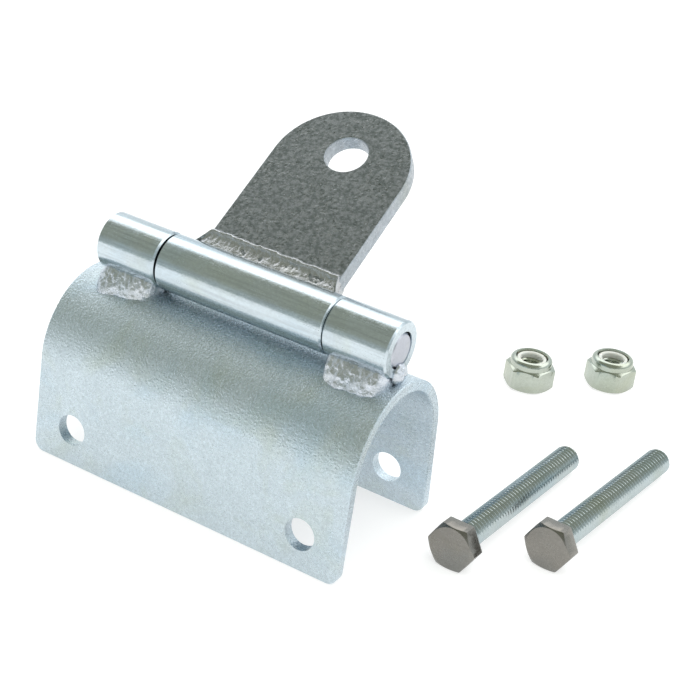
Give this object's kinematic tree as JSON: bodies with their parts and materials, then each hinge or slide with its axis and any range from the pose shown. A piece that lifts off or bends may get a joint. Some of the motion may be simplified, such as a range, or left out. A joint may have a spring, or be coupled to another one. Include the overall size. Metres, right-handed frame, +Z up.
{
  "type": "hinged saddle bracket",
  "caption": "Welded zinc-plated saddle for a round tube with a pinned, swinging eye tab on its crown, with loose hex bolts and lock nuts.",
  "frame": {"origin": "centre of the round tube seat at mid length of the saddle", "axes": "+Z up through the crown to the hinge, +X along the tube and the hinge pin, +Y to the back, where the tab leans"},
  "size_m": [0.1476, 0.1615, 0.0953],
  "materials": {
    "zinc_plate": "bright zinc plating over mill-finish steel",
    "zinc_tube": "bright zinc plating over drawn tube",
    "zinc_weld": "zinc plating over weld beads",
    "zinc_fastener": "bright zinc plating over rolled thread",
    "nylon": "natural nylon"
  },
  "bodies": {
    "bracket": {"hinge_pin": "zinc_tube", "left_knuckle": "zinc_tube", "left_pin_weld": "zinc_weld", "left_weld_front": "zinc_weld", "left_weld_rear": "zinc_weld", "right_knuckle": "zinc_tube", "right_pin_weld": "zinc_weld", "right_weld_front": "zinc_weld", "right_weld_rear": "zinc_weld", "saddle": "zinc_plate"},
    "swing_tab": {"hinge_barrel": "zinc_tube", "eye_tab": "zinc_plate", "tab_weld_upper": "zinc_weld", "tab_weld_lower": "zinc_weld"},
    "loose_bolt_1": {"bolt_1": "zinc_fastener"},
    "loose_bolt_2": {"bolt_2": "zinc_fastener"},
    "loose_nut_1": {"lock_nut_1": "zinc_fastener", "nylon_ring_1": "nylon"},
    "loose_nut_2": {"lock_nut_2": "zinc_fastener", "nylon_ring_2": "nylon"}
  },
  "joints": [
    {"name": "tab_swing", "type": "hinge", "parent": "bracket", "child": "swing_tab", "pos_m": [0.0017, 0, 0.03146], "axis": [1, 0, 0], "range_deg": [-68.5, 184.5]},
    {"name": "lift_bolt_1", "type": "slide", "parent": "bracket", "child": "loose_bolt_1", "axis": [0, 0, 1], "range_m": [0, 0.06]},
    {"name": "lift_bolt_2", "type": "slide", "parent": "bracket", "child": "loose_bolt_2", "axis": [0, 0, 1], "range_m": [0, 0.06]},
    {"name": "lift_nut_1", "type": "slide", "parent": "bracket", "child": "loose_nut_1", "axis": [0, 0, 1], "range_m": [0, 0.06]},
    {"name": "lift_nut_2", "type": "slide", "parent": "bracket", "child": "loose_nut_2", "axis": [0, 0, 1], "range_m": [0, 0.06]}
  ]
}
